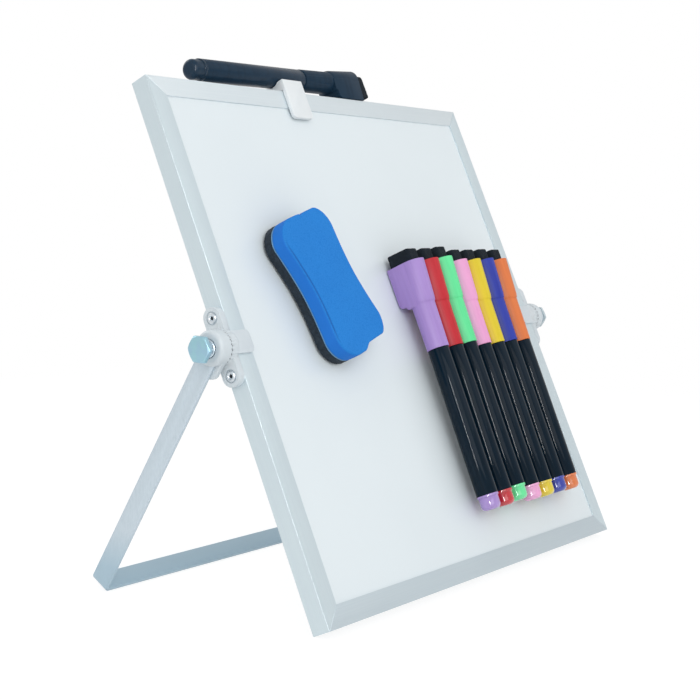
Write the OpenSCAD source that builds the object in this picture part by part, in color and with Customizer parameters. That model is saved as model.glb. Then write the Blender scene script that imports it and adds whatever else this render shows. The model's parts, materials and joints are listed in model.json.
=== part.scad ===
// Desk whiteboard easel: a framed double-sided magnetic board that leans back on a folding U-shaped leg,
// with a marker clipped on top, seven markers and an eraser held on the writing face by their magnets.
// Millimetres, +Z up, +X to the right of someone who faces the writing side, +Y away from them.
// The origin is on the desk, under the middle of the whole object.

/* [Board] */
// Width of the framed board
board_w = 254; // [240:1:330]
// Height of the framed board, measured up its face
board_h = 254; // [240:1:330]
// How far the board leans back from upright, in degrees
lean = 25.7; // [18:0.1:32]
// Depth of the frame bars, front to back
frame_d = 9.6; // [9:0.1:12]
// Width of the frame bars, seen from the front
frame_face = 9.6; // [8.5:0.1:12]
// Thickness of the frame's front and rear lips
lip_t = 0.7; // [0.5:0.1:1]
// Thickness of the frame's outer wall
wall_t = 1; // [0.8:0.1:1.4]
// Thickness of the frame's inner web
web_t = 0.8; // [0.6:0.1:1.2]
// Inner width of the hollow that runs along each bar
tube_w = 2.8; // [2.6:0.1:3.2]
// Thickness of each steel sheet
sheet_t = 0.4; // [0.3:0.05:0.6]
// Length of each arm of the corner keys
key_arm = 18; // [12:1:30]

/* [Leg] */
// Width of the leg's steel strip
strip_w = 10; // [8.5:0.1:11]
// Thickness of the leg's steel strip
strip_t = 1.8; // [1.2:0.1:2]
// Gap between the folded leg and the edge of the board
fold_gap = 2.7; // [2:0.1:6]
// Inner radius of the two bends in the strip
bend_r = 0.7; // [0.5:0.1:4]

/* [Hinge] */
// Thickness of the bracket's side plate
plate_t = 3.6; // [3:0.1:4.5]
// Radius of the bracket's rounded ends
tab_r = 4.8; // [4.4:0.1:5.2]
// Distance from the pivot to each rivet
rivet_y = 13.2; // [13:0.1:15]
// Thickness of the bracket's tongues over the frame
tongue_t = 1.5; // [1:0.1:2]
// Width of the bracket's tongues
tongue_w = 10.3; // [9:0.1:12]
// How far the tongues reach in from the side of the frame
tongue_reach = 9.9; // [9:0.1:13]
// Radius of the round boss and of the hub
hub_r = 7.85; // [7.6:0.05:8.2]
// Height of the boss above the bracket's side plate
boss_h = 1.6; // [1.2:0.1:2.4]
// Number of teeth in each crown
teeth = 24; // [16:1:28]
// Depth of the grooves between the teeth
tooth_h = 0.5; // [0.3:0.05:0.8]
// Free gap between the two crowns
crown_gap = 0.15; // [0.1:0.05:0.4]
// Hub wall between the crown and the strip
hub_floor = 2.85; // [2.2:0.05:3.6]
// Hub wall outside the strip
hub_cover = 1.85; // [1.2:0.05:2.6]
// Radius of the soft edge round the hub's outer end
hub_edge_r = 2; // [1:0.1:2.2]
// Half width of the lug behind the strip
lug_half = 7.2; // [5.8:0.1:7.4]
// Length of the lug, from the pivot
lug_len = 13.5; // [12:0.5:24]

/* [Bolts and rivets] */
// Radius of the bolt's shank
bolt_r = 2.45; // [2:0.05:2.5]
// Radius of the hex head across its corners
head_r = 6.4; // [5:0.1:6.6]
// Thickness of the hex head
head_t = 2; // [1.6:0.1:4]
// Radius of the spacer's wide end
spacer_r = 3.9; // [3.6:0.05:4.2]
// Radius of the spacer's neck
spacer_neck_r = 3.35; // [3.1:0.05:3.5]
// How far the spacer stands out of the hub
spacer_out = 4.35; // [2.5:0.05:6]
// Width of the hidden nut, up the frame
nut_w = 12; // [9:0.5:14]
// Radius of the rivet's shank
rivet_r = 1.6; // [1.2:0.1:1.8]
// Radius of the rivet's head
rivet_head_r = 2.6; // [2.3:0.1:2.8]
// Radius of the hole through the rivet
rivet_bore_r = 0.8; // [0.5:0.1:0.9]
// Depth of the recess that the rivet's head sits in
rivet_sink = 0.6; // [0.4:0.1:1.4]

/* [Markers] */
// Distance from the middle of the board to the first marker
marker_x = 8.45; // [6:0.05:10]
// Distance from one marker to the next
marker_step = 13.4; // [12.9:0.1:14.5]
// Height of the caps' mouths above the middle of the board, up its face
marker_y = -16; // [-20:0.5:-10]
// Radius of the cap at its mouth
cap_mouth_r = 5.65; // [5.5:0.05:5.8]
// Radius of the cap below its shoulder
cap_neck_r = 5.95; // [5.85:0.05:6.1]
// Radius of the cap's upper part
cap_r = 6.2; // [6.15:0.05:6.4]
// Length of the cap below its shoulder
cap_neck_h = 24.5; // [22:0.5:28]
// Length of the whole cap
cap_h = 45.4; // [42:0.1:50]
// Distance from the marker's axis to the back of the magnet block, at the mouth
block_reach = 9.9; // [9:0.1:11]
// Half width of the magnet block at its back
block_half = 5.2; // [3.6:0.1:5.6]
// Radius of the block's lower corner
block_corner_r = 1.4; // [0.8:0.1:2]
// Radius of the fillet where the block springs from the cap
block_fillet_r = 1.6; // [0.8:0.1:2]
// Thickness of the felt wiper on the cap
wiper_h = 6.6; // [4:0.1:8]
// Radius of the barrel
barrel_r = 5.45; // [5.3:0.05:5.5]
// Length of the barrel below the cap
barrel_l = 75.4; // [65:0.1:82]
// Length of the end plug below the barrel
plug_l = 7.6; // [6:0.1:9]
// Radius of the barrel's neck inside the cap
neck_r = 4.6; // [4.2:0.05:4.6]
// How far the caps lean away from the board, in degrees
marker_tilt = 1.2; // [0:0.1:2]

/* [Clip and eraser] */
// Width of the clip along the frame
clip_w = 15.5; // [10:0.5:20]
// Distance from the middle of the board to the middle of the clip
clip_x = -23.75; // [-40:0.25:-18]
// Thickness of the clip's plates
clip_t = 2; // [1.4:0.1:2.6]
// How far the clip hangs down the front
clip_drop = 15.5; // [12:0.5:20]
// How far the clip hangs down the back
clip_back_drop = 11; // [7:0.5:14]
// Depth of the clip's top below the marker's axis
clip_low = 4.4; // [3.5:0.1:5]
// Corner radius of the clip's front plate
clip_corner_r = 2.5; // [1:0.5:4]
// Place of that marker's cap mouth, from the middle of the board
rest_x = -7.9; // [-10:0.1:0]
// Distance of the eraser's middle from the middle of the board, to the left
eraser_x = 60.3; // [50:0.1:70]
// Height of the eraser's middle above the middle of the board, up its face
eraser_y = 21.7; // [0:0.1:40]
// Length of the eraser
eraser_l = 71; // [60:1:80]
// Width of the eraser at its ends
eraser_w = 41; // [34:1:46]
// Depth of the waist in each long side
eraser_waist = 2; // [0.5:0.1:3]
// Radius of the eraser's corners
eraser_corner_r = 12; // [9:0.5:14]
// Depth of the step in the eraser's lower end
lower_step = 2.4; // [1:0.1:3]
// Depth of the step in its upper end
upper_step = 1.2; // [0.6:0.1:3]
// Thickness of the eraser's foam
foam_t = 7.5; // [5:0.1:14]
// Thickness of the eraser's felt pad
felt_t = 5; // [3:0.1:7]
// Thickness of the eraser's magnet sheet
magnet_t = 0.5; // [0.3:0.1:1]
// How far the eraser is turned on the board, in degrees
eraser_turn = 16; // [10:1:20]

/* [Hidden] */
$fn = 96;
eps = 0.01;
big = 400;
run_gap = 0.05;
part_gap = 0.3;
bore_gap = 0.1;
key_gap = 0.2;
cut = 1;

PENS = ["purple", "red", "green", "pink", "yellow", "blue", "orange", "black"];
PEN_COLOURS = ["#af96dc", "#e02b3a", "#58dba0", "#f58fc4", "#f3c92f", "#2b3fae", "#ef6c2a", "#22303c"];
// How far each marker on the face stands above or below the row
PEN_SHIFT = [0, 0, 0.7, -1.2, -1.3, -1.2, -1.6];
FIXED = ["frame_left", "frame_right", "frame_top", "frame_bottom", "front_sheet", "rear_sheet", "core_board",
         "corner_keys", "left_pivot_bracket", "right_pivot_bracket", "bracket_rivets", "pivot_nuts",
         "leg_strip", "left_hub", "right_hub", "left_spacer", "right_spacer", "left_bolt", "right_bolt",
         "pen_clip", "eraser_foam", "eraser_felt", "eraser_magnet"];

// Board: the panel's edge sits in the groove behind the web
groove_s = wall_t + tube_w + web_t;
panel_s = groove_s + part_gap;
inner_d = frame_d - 2 * lip_t;
core_t = inner_d - 2 * sheet_t;

// Hinge stack, outward from the side of the frame
boss_x = plate_t + boss_h;
hub_x = boss_x + crown_gap;
strip_x = hub_x + hub_floor;
cover_x = strip_x + strip_t;
hub_end = cover_x + hub_cover;
head_x = hub_end + spacer_out;
bolt_end = head_x + head_t;
nut_t = tube_w - key_gap;
nut_h = inner_d - 4 * key_gap;
bolt_tip = wall_t + nut_t - bore_gap;
bolt_hole_r = bolt_r + run_gap;
rivet_hole_r = rivet_r + run_gap;
lug_inset = 0.25;
lug_t = hub_floor - lug_inset;
lug_corner_r = 4.2;
tongue_corner_r = 2.4;
boss_root = 2.4;
crown_start = 4.08;
bolt_turn = 26;
head_chamfer = 0.7;
chamfer_inset = 1.12;
spacer_chamfer = 0.5;
spacer_gap = 0.2;
recess_gap = 0.4;
shank_end = 1.2;
rivet_rim_t = 0.3;
rivet_dome_x = 0.1;

// Leg: the crossbar swings just outside the board, and its outer face has this radius about the pivot
leg_r = board_h / 2 + fold_gap + strip_t;
pivot_z = board_h / 2 * cos(lean) + frame_d / 2 * sin(lean);
edge_reach = sqrt(pow(leg_r, 2) + pow(strip_w / 2, 2));
splay = acos(pivot_z / edge_reach) + atan(strip_w / 2 / leg_r);

// Front to back reach from the pivot, which puts the origin under the middle
front_reach = board_h / 2 * sin(lean) + frame_d / 2 * cos(lean);
foot_reach = leg_r * sin(splay) + strip_w / 2 * cos(splay);
pivot_y = (front_reach - foot_reach) / 2;

// Markers
cap_bore_r = neck_r + bore_gap;
cap_end_t = 5.4;
cap_bore_d = cap_h - cap_end_t;
cap_lean = 3.27;
cap_shift = 0.4;
shoulder_h = 1.8;
wiper_half = 4.7;
wiper_front = 4.2;
wiper_round = 2;
wiper_inset = 1;
barrel_gap = 0.2;
neck_end = 16;
nib_holder_end = 23;
nib_holder_r = 2.7;
nib_r = 1.9;
nib_side = 31;
nib_end = 34;
nib_end_r = 0.8;
plug_spigot_r = 3.95;
plug_spigot_l = 4;
plug_socket_l = 4.4;
plug_r = 4.9;
plug_flange = 1.2;
plug_round = 2.5;

// Marker on top: its block stands on the frame, and the clip's saddle meets its barrel
rest_y = board_h / 2 + block_reach + part_gap;
saddle_y = rest_y - (rest_x - clip_x) * tan(marker_tilt);
clip_seat_r = barrel_r + part_gap;
clip_top = saddle_y - clip_low;

// Where the steps in the eraser's ends begin, to the right of its middle
step_x = 0.8;

// The board's own frame: X right, Y up its face, Z out of the writing side, origin in the middle of its depth
module on_board() translate([0, pivot_y, pivot_z]) rotate([90 - lean, 0, 0]) children();

// The same, with Z measured from the front of the frame
module on_face() on_board() translate([0, 0, frame_d / 2]) children();

// The leg's own frame: origin on the pivot, the leg along -Z
module on_leg() translate([0, pivot_y, pivot_z]) rotate([splay, 0, 0]) children();

// One side of the object, with X outward from the side of the frame
module at_side(side) {
  if (side > 0) translate([board_w / 2, 0, 0]) children();
  else mirror([1, 0, 0]) translate([board_w / 2, 0, 0]) children();
}

// A drum along +X from x = a
module drum(a, b, r) translate([a, 0, 0]) rotate([0, 90, 0]) cylinder(h = b - a, r = r);

// Section of a bar: x runs from the outer edge inward, y from the rear lip to the front one
module bar_section() {
  translate([0, -frame_d / 2]) square([wall_t, frame_d]);
  translate([wall_t + tube_w, -frame_d / 2]) square([web_t, frame_d]);
  for (y = [-frame_d / 2, frame_d / 2 - lip_t]) translate([0, y]) square([frame_face, lip_t]);
}

// A bar of a given length with its outer edge on the X axis and mitred ends
module bar(len) intersection() {
  rotate([90, 0, 90]) linear_extrude(len, center = true) mirror([1, 0]) bar_section();
  linear_extrude(frame_d, center = true)
    polygon([[-len / 2, 0], [len / 2, 0],
             [len / 2 - frame_face, -frame_face], [-len / 2 + frame_face, -frame_face]]);
}

// A side bar with its holes for the bolt and the two rivets
module side_bar(side) color("#ccd8dd") on_board() difference() {
  translate([side * board_w / 2, 0, 0]) rotate([0, 0, -90 * side]) bar(board_h);
  at_side(side) {
    drum(-wall_t - cut, cut, bolt_hole_r);
    for (y = [-rivet_y, rivet_y]) translate([0, y, 0]) drum(-wall_t - cut, cut, rivet_hole_r);
  }
}

module frame_left() side_bar(-1);
module frame_right() side_bar(1);
module frame_top() color("#d4dfe2") on_board() translate([0, board_h / 2, 0]) bar(board_w);
module frame_bottom() color("#d4dfe2") on_board() translate([0, -board_h / 2, 0]) rotate([0, 0, 180]) bar(board_w);

// A layer of the panel, from z = a up to b
module panel(a, b) on_board() translate([0, 0, a]) linear_extrude(b - a)
  square([board_w - 2 * panel_s, board_h - 2 * panel_s], center = true);

module front_sheet() color("#eef3f8") panel(core_t / 2, inner_d / 2);
module rear_sheet() color("#eef3f8") panel(-inner_d / 2, -core_t / 2);
module core_board() color("#b89b72") panel(-core_t / 2, core_t / 2);

module corner_keys() color("#8d959b") on_board()
  for (sx = [-1, 1]) for (sy = [-1, 1])
    translate([sx * (board_w / 2 - wall_t), sy * (board_h / 2 - wall_t), 0])
      linear_extrude(inner_d - 2 * key_gap, center = true)
        polygon([[0, 0], [-sx * key_arm, 0], [-sx * key_arm, -sy * tube_w],
                 [-sx * tube_w, -sy * tube_w], [-sx * tube_w, -sy * key_arm], [0, -sy * key_arm]]);

// V grooves cut into a crown whose face is at x, on the side that dir points away from
module crown_cut(x, dir) for (k = [0:teeth - 1]) rotate([k * 360 / teeth, 0, 0])
  translate([0, 0, crown_start]) linear_extrude(hub_r)
    polygon([[x + dir * eps, -tooth_h - eps], [x + dir * eps, tooth_h + eps], [x - dir * tooth_h, 0]]);

// Rounded rectangle from the origin along +X, round at its far end only
module tongue_plan(len, w, r) {
  translate([0, -w / 2]) square([len - r, w]);
  translate([0, -w / 2 + r]) square([len, w - 2 * r]);
  for (y = [-w / 2 + r, w / 2 - r]) translate([len - r, y]) circle(r);
}

module bracket(side) color("#d9dfe4") on_board() at_side(side) difference() {
  union() {
    rotate([0, 90, 0]) linear_extrude(plate_t) {
      square([2 * tab_r, 2 * rivet_y], center = true);
      for (y = [-rivet_y, rivet_y]) translate([0, y]) circle(tab_r);
    }
    for (z = [-frame_d / 2 - tongue_t, frame_d / 2]) translate([plate_t, 0, z]) linear_extrude(tongue_t)
      mirror([1, 0]) tongue_plan(plate_t + tongue_reach, tongue_w, tongue_corner_r);
    drum(plate_t - boss_root, boss_x, hub_r);
    translate([plate_t - 2 * boss_root, 0, 0]) rotate([0, 90, 0])
      cylinder(h = boss_root, r1 = frame_d / 2 + tongue_t, r2 = hub_r);
  }
  translate([-big, -big / 2, -frame_d / 2]) cube([big, big, frame_d]);
  drum(-cut, boss_x + cut, bolt_hole_r);
  for (y = [-rivet_y, rivet_y]) translate([0, y, 0]) {
    drum(-cut, plate_t + cut, rivet_hole_r);
    drum(plate_t - rivet_sink, plate_t + cut, rivet_head_r + recess_gap);
  }
  crown_cut(boss_x, 1);
}

module left_pivot_bracket() bracket(-1);
module right_pivot_bracket() bracket(1);

// Rivet: domed hollow head in the bracket's recess, shank and swollen end inside the bar
module rivet() rotate([0, 90, 0]) rotate_extrude() {
  translate([rivet_bore_r, -wall_t - shank_end])
    square([rivet_r - rivet_bore_r, wall_t + shank_end + plate_t - rivet_sink]);
  translate([rivet_bore_r, -wall_t - shank_end]) square([rivet_r + recess_gap - rivet_bore_r, shank_end]);
  translate([rivet_bore_r, plate_t - rivet_sink]) square([rivet_head_r - rivet_bore_r, rivet_rim_t]);
  translate([(rivet_head_r + rivet_bore_r) / 2, plate_t - rivet_sink + rivet_dome_x])
    intersection() {
      circle((rivet_head_r - rivet_bore_r) / 2);
      translate([-rivet_head_r, 0]) square(2 * rivet_head_r);
    }
}

module bracket_rivets() color("#c3ccd2") on_board()
  for (side = [-1, 1]) at_side(side) for (y = [-rivet_y, rivet_y]) translate([0, y, 0]) rivet();

module pivot_nuts() color("#9aa7ad") on_board() for (side = [-1, 1]) at_side(side) difference() {
  translate([-wall_t - nut_t, -nut_w / 2, -nut_h / 2]) cube([nut_t, nut_w, nut_h]);
  drum(-wall_t - nut_t - cut, cut, bolt_hole_r);
}

// U-shaped strip seen from the front, with its two bends
module leg_outline(half, depth, r) {
  translate([-half, -depth + r]) square([2 * half, depth - r]);
  translate([-half + r, -depth]) square([2 * (half - r), depth]);
  for (s = [-1, 1]) translate([s * (half - r), -depth + r]) circle(r);
}

module leg_strip() color("#c6d2da") on_leg() difference() {
  union() {
    rotate([90, 0, 0]) linear_extrude(strip_w, center = true) difference() {
      leg_outline(board_w / 2 + cover_x, leg_r, bend_r + strip_t);
      translate([0, eps]) leg_outline(board_w / 2 + strip_x, leg_r - strip_t + eps, bend_r);
    }
    for (side = [-1, 1]) at_side(side) drum(strip_x, cover_x, strip_w / 2);
  }
  for (side = [-1, 1]) at_side(side) drum(strip_x - cut, cover_x + cut, bolt_hole_r);
}

module hub(side) color("#d5dbe0") on_leg() at_side(side) difference() {
  union() {
    drum(hub_x, hub_end - hub_edge_r, hub_r);
    rotate([0, 90, 0]) rotate_extrude() {
      translate([0, hub_x + eps]) square([hub_r - hub_edge_r, hub_end - hub_x - eps]);
      translate([hub_r - hub_edge_r, hub_end - hub_edge_r]) intersection() {
        circle(hub_edge_r);
        square(hub_edge_r);
      }
    }
    translate([strip_x - lug_t, 0, 0]) rotate([0, 90, 0]) linear_extrude(lug_t)
      tongue_plan(lug_len, 2 * lug_half, lug_corner_r);
  }
  // Slot for the strip, which enters from below
  translate([strip_x, -strip_w / 2, -hub_r - cut]) cube([strip_t, strip_w, hub_r + cut]);
  drum(strip_x, cover_x, strip_w / 2);
  drum(hub_x - cut, strip_x + cut, bolt_hole_r);
  drum(strip_x, hub_end + cut, spacer_r + spacer_gap);
  crown_cut(hub_x, -1);
}

module left_hub() hub(-1);
module right_hub() hub(1);

// Stepped sleeve round the bolt, from the strip out to the bolt's head
module spacer(side) color("#b8c6cc") on_leg() at_side(side) difference() {
  union() {
    drum(cover_x, hub_end, spacer_r);
    translate([hub_end, 0, 0]) rotate([0, 90, 0]) cylinder(h = spacer_chamfer, r1 = spacer_r, r2 = spacer_neck_r);
    drum(hub_end, head_x, spacer_neck_r);
  }
  drum(cover_x - cut, head_x + cut, bolt_hole_r);
}

module left_spacer() spacer(-1);
module right_spacer() spacer(1);

// Hex bolt: a head with chamfered corners on a plain shank
module bolt(side) color("#9bc3d2") on_board() at_side(side) rotate([bolt_turn, 0, 0]) {
  drum(-bolt_tip, head_x + eps, bolt_r);
  intersection() {
    translate([head_x, 0, 0]) rotate([0, 90, 0]) cylinder(h = head_t, r = head_r, $fn = 6);
    union() {
      drum(head_x, bolt_end - head_chamfer, head_r + cut);
      translate([bolt_end - head_chamfer, 0, 0]) rotate([0, 90, 0])
        cylinder(h = head_chamfer, r1 = head_r, r2 = head_r - chamfer_inset);
    }
  }
}

module left_bolt() bolt(-1);
module right_bolt() bolt(1);

// Places a marker: index 0 to 6 on the face, 7 on the clip. Y runs towards the cap's felt, Z away from the block
module at_pen(i) {
  if (i < 7) on_face() translate([marker_x + marker_step * i, marker_y + PEN_SHIFT[i], block_reach + part_gap])
    rotate([marker_tilt, 0, 0]) children();
  else on_board() translate([rest_x, rest_y, 0]) rotate([-90, 0, 0]) rotate([marker_tilt, 0, -90]) children();
}

// Cross-section of the magnet block: x across, y towards the front
module block_section()
  polygon([[-cap_r, 0], [-block_half, -block_reach - cut], [block_half, -block_reach - cut], [cap_r, 0]]);

// The block seen from the side: x up the marker, y towards the front, with its lower corner and its root rounded
module block_side() {
  corner_x = cap_neck_h + block_corner_r;
  root_y = -cap_neck_r - block_fillet_r;
  translate([corner_x, -block_reach - cut]) square([cap_h - corner_x, block_reach + cut]);
  translate([cap_neck_h, -block_reach + block_corner_r]) square([cap_h - cap_neck_h, block_reach - block_corner_r]);
  translate([corner_x, -block_reach + block_corner_r]) circle(block_corner_r);
  difference() {
    translate([cap_neck_h - block_fillet_r, root_y]) square([block_fillet_r + eps, -root_y]);
    translate([cap_neck_h - block_fillet_r, root_y]) circle(block_fillet_r);
  }
}

module cap_body() {
  rotate([-90, 0, 0]) cylinder(h = cap_neck_h, r1 = cap_mouth_r, r2 = cap_neck_r);
  intersection() {
    union() {
      // Upper part, whose round front leans forward, on a short shoulder
      translate([0, cap_neck_h, cap_shift]) rotate([cap_lean, 0, 0]) rotate([-90, 0, 0]) {
        translate([0, 0, shoulder_h * 2 / 3]) cylinder(h = cap_h, r = cap_r);
        translate([0, 0, -shoulder_h / 3]) cylinder(h = shoulder_h, r1 = cap_neck_r, r2 = cap_r);
      }
      intersection() {
        rotate([90, 0, 0]) translate([0, 0, -cap_h]) linear_extrude(cap_h) block_section();
        rotate([90, 0, 90]) linear_extrude(4 * cap_r, center = true) block_side();
      }
    }
    translate([-big / 2, 0, -big / 2]) cube([big, cap_h, big]);
  }
}

module cap(i) color(PEN_COLOURS[i]) at_pen(i) difference() {
  cap_body();
  // The block's back stays parallel to the board
  rotate([-marker_tilt, 0, 0]) translate([-big / 2, -big / 2, -big - block_reach]) cube(big);
  rotate([-90, 0, 0]) translate([0, 0, -cut]) cylinder(h = cap_bore_d + cut, r = cap_bore_r);
}

// Block of felt on the end of the cap, with two soft corners at its front
module felt(i) color("#2f3a44")
at_pen(i) translate([0, cap_h + wiper_h, 0]) rotate([90, 0, 0]) linear_extrude(wiper_h) {
  back = block_reach - wiper_inset;
  translate([-wiper_half, -back]) square([2 * wiper_half, back + wiper_front - wiper_round]);
  translate([-wiper_half + wiper_round, 0]) square([2 * (wiper_half - wiper_round), wiper_front]);
  for (s = [-1, 1]) translate([s * (wiper_half - wiper_round), wiper_front - wiper_round]) circle(wiper_round);
}

module barrel(i) color("#1c2a36") at_pen(i) difference() {
  union() {
    rotate([90, 0, 0]) translate([0, 0, barrel_gap]) cylinder(h = barrel_l - barrel_gap, r = barrel_r);
    rotate([-90, 0, 0]) rotate_extrude()
      polygon([[0, -cut], [neck_r, -cut], [neck_r, neck_end], [nib_holder_r, nib_holder_end], [nib_r, nib_holder_end],
               [nib_r, nib_side], [nib_end_r, nib_end], [0, nib_end]]);
  }
  rotate([90, 0, 0]) translate([0, 0, barrel_l - plug_socket_l])
    cylinder(h = plug_socket_l + cut, r = plug_spigot_r + run_gap);
}

module plug(i) color(PEN_COLOURS[i]) at_pen(i) rotate([90, 0, 0]) translate([0, 0, barrel_l]) rotate_extrude() {
  translate([0, -plug_spigot_l]) square([plug_spigot_r, plug_spigot_l]);
  square([barrel_r, plug_flange]);
  square([plug_r, plug_l - plug_round]);
  square([plug_r - plug_round, plug_l]);
  translate([plug_r - plug_round, plug_l - plug_round]) intersection() {
    circle(plug_round);
    square(plug_round);
  }
}

// Clip: front plate, web over the top bar with a saddle for the marker, and a lip down the back
// The profile's x runs up the board and its y towards the front
module clip_profile() {
  edge = board_h / 2;
  half = frame_d / 2 + part_gap;
  difference() {
    union() {
      translate([edge - clip_drop, half]) square([clip_top - edge + clip_drop, clip_t]);
      translate([edge - clip_back_drop, -half - clip_t]) square([clip_top - edge + clip_back_drop, clip_t]);
      translate([edge + part_gap, -half - clip_t]) square([clip_top - edge - part_gap, 2 * (half + clip_t)]);
    }
    translate([saddle_y, 0]) circle(clip_seat_r);
  }
}

// Front view of the clip: x along the frame, y up the board, with its lower corners rounded
module clip_front() {
  low = board_h / 2 - clip_drop;
  translate([-clip_w / 2, low + clip_corner_r]) square([clip_w, clip_top - low]);
  translate([-clip_w / 2 + clip_corner_r, low]) square([clip_w - 2 * clip_corner_r, clip_corner_r]);
  for (s = [-1, 1]) translate([s * (clip_w / 2 - clip_corner_r), low + clip_corner_r]) circle(clip_corner_r);
}

module pen_clip() color("#e6eaef") on_board() translate([clip_x, 0, 0]) intersection() {
  rotate([90, 0, 90]) linear_extrude(clip_w + cut, center = true) clip_profile();
  linear_extrude(4 * frame_d, center = true) clip_front();
}

module eraser_outline(inset) {
  half_l = eraser_l / 2 - inset;
  half_w = eraser_w / 2 - inset;
  r = eraser_corner_r - inset;
  waist_half = half_l - r;
  waist_r = (pow(waist_half, 2) + pow(eraser_waist, 2)) / 2 / eraser_waist;
  difference() {
    union() {
      square([2 * half_w, 2 * (half_l - r)], center = true);
      square([2 * (half_w - r), 2 * half_l], center = true);
      for (sx = [-1, 1]) for (sy = [-1, 1]) translate([sx * (half_w - r), sy * (half_l - r)]) circle(r);
    }
    for (sx = [-1, 1]) translate([sx * (half_w + waist_r - eraser_waist), 0]) circle(waist_r, $fn = 360);
    end_step(half_l, lower_step, -1);
    end_step(half_l, upper_step, 1);
  }
}

// What the step takes off the right half of one end: a straight cut that begins with an S-shaped curve
module end_step(half_l, depth, end) {
  r = depth / 2;
  mirror([0, end < 0 ? 1 : 0]) translate([step_x, half_l - depth]) {
    translate([r, 0]) square([eraser_w, 2 * depth]);
    translate([0, r]) square([eraser_w, 2 * depth]);
    translate([r, r]) circle(r);
    difference() {
      translate([-r, r]) square([r + eps, depth]);
      translate([-r, r]) circle(r);
    }
  }
}

module eraser_layer(a, b, inset) on_face() translate([-eraser_x, eraser_y, a]) rotate([0, 0, eraser_turn])
  linear_extrude(b - a) eraser_outline(inset);

module eraser_felt() color("#3a444e") eraser_layer(part_gap, part_gap + felt_t, 0);
module eraser_magnet() color("#30363c") eraser_layer(part_gap + felt_t, part_gap + felt_t + magnet_t, 1);
module eraser_foam() color("#2a86dc")
  eraser_layer(part_gap + felt_t + magnet_t, part_gap + felt_t + magnet_t + foam_t, 0);

frame_left();
frame_right();
frame_top();
frame_bottom();
front_sheet();
rear_sheet();
core_board();
corner_keys();
left_pivot_bracket();
right_pivot_bracket();
bracket_rivets();
pivot_nuts();
leg_strip();
left_hub();
right_hub();
left_spacer();
right_spacer();
left_bolt();
right_bolt();
pen_clip();
eraser_foam();
eraser_felt();
eraser_magnet();
for (i = [0:len(PENS) - 1]) {
  cap(i);
  felt(i);
  barrel(i);
  plug(i);
}
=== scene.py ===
import json
import math

import bmesh
import bpy
import numpy as np
from mathutils import Matrix, Vector


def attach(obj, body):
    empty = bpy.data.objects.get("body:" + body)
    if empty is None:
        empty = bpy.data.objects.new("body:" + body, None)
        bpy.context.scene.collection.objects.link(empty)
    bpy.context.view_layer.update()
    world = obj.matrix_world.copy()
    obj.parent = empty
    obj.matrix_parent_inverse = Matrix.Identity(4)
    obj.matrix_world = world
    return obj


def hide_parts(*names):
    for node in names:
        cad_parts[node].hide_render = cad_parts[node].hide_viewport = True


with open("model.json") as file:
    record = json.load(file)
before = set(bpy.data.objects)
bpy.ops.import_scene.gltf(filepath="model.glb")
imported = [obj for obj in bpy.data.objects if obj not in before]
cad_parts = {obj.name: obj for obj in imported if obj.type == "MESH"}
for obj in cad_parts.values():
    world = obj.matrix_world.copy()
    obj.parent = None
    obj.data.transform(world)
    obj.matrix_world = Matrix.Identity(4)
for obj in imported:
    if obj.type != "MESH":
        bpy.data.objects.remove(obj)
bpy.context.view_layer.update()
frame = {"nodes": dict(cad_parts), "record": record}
pens = ["purple", "red", "green", "pink", "yellow", "blue", "orange", "black"]

# where the leaning board stands, in millimetres; its own frame has X right, Y up the face and Z out of it
board = {"lean": 25.7, "pivotY": -5.2165, "pivotZ": 116.518, "halfDepth": 4.8}
boardTurn = math.radians(90 - board["lean"])
inMillimetres = Matrix.Scale(0.001, 4)
atPivot = Matrix.Translation((0, board["pivotY"], board["pivotZ"]))
onBoard = inMillimetres @ atPivot @ Matrix.Rotation(boardTurn, 4, "X")
onFace = onBoard @ Matrix.Translation((0, 0, board["halfDepth"]))


# shader kit: materials are written as plain expressions

def rgb(r, g, b):
    # a colour as a photo gives it, turned into the shader's linear one
    flat = [v / 255 for v in (r, g, b)]
    return tuple(v / 12.92 if v < 0.04045 else ((v + 0.055) / 1.055) ** 2.4 for v in flat) + (1,)


class Wire:
    # an output socket that can be added, multiplied and so on
    def __init__(self, graph, socket):
        self.graph = graph
        self.socket = socket

    def reckon(self, how, a, b):
        return self.graph.node("Math", {"operation": how}, {0: a, 1: b})

    def __add__(self, other):
        return self.reckon("ADD", self, other)

    def __radd__(self, other):
        return self.reckon("ADD", other, self)

    def __sub__(self, other):
        return self.reckon("SUBTRACT", self, other)

    def __rsub__(self, other):
        return self.reckon("SUBTRACT", other, self)

    def __mul__(self, other):
        return self.reckon("MULTIPLY", self, other)

    def __rmul__(self, other):
        return self.reckon("MULTIPLY", other, self)

    def __pow__(self, other):
        return self.reckon("POWER", self, other)


class Graph:
    # a node tree, whose nodes all come from one method
    def __init__(self, tree):
        self.tree = tree

    def join(self, value, socket):
        if isinstance(value, Wire):
            self.tree.links.new(value.socket, socket)
        else:
            socket.default_value = value

    def node(self, kind, settings, values, out=0):
        new = self.tree.nodes.new("ShaderNode" + kind)
        for key, value in settings.items():
            setattr(new, key, value)
        for key, value in values.items():
            self.join(value, new.inputs[key])
        return Wire(self, new.outputs[out])

    def outlet(self, wire, name):
        # another output of the node that a wire comes from
        return Wire(self, wire.socket.node.outputs[name])

    def ramp(self, value, low, high, toLow=0.0, toHigh=1.0):
        return self.node("MapRange", {"clamp": True}, {0: value, 1: low, 2: high, 3: toLow, 4: toHigh})


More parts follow.
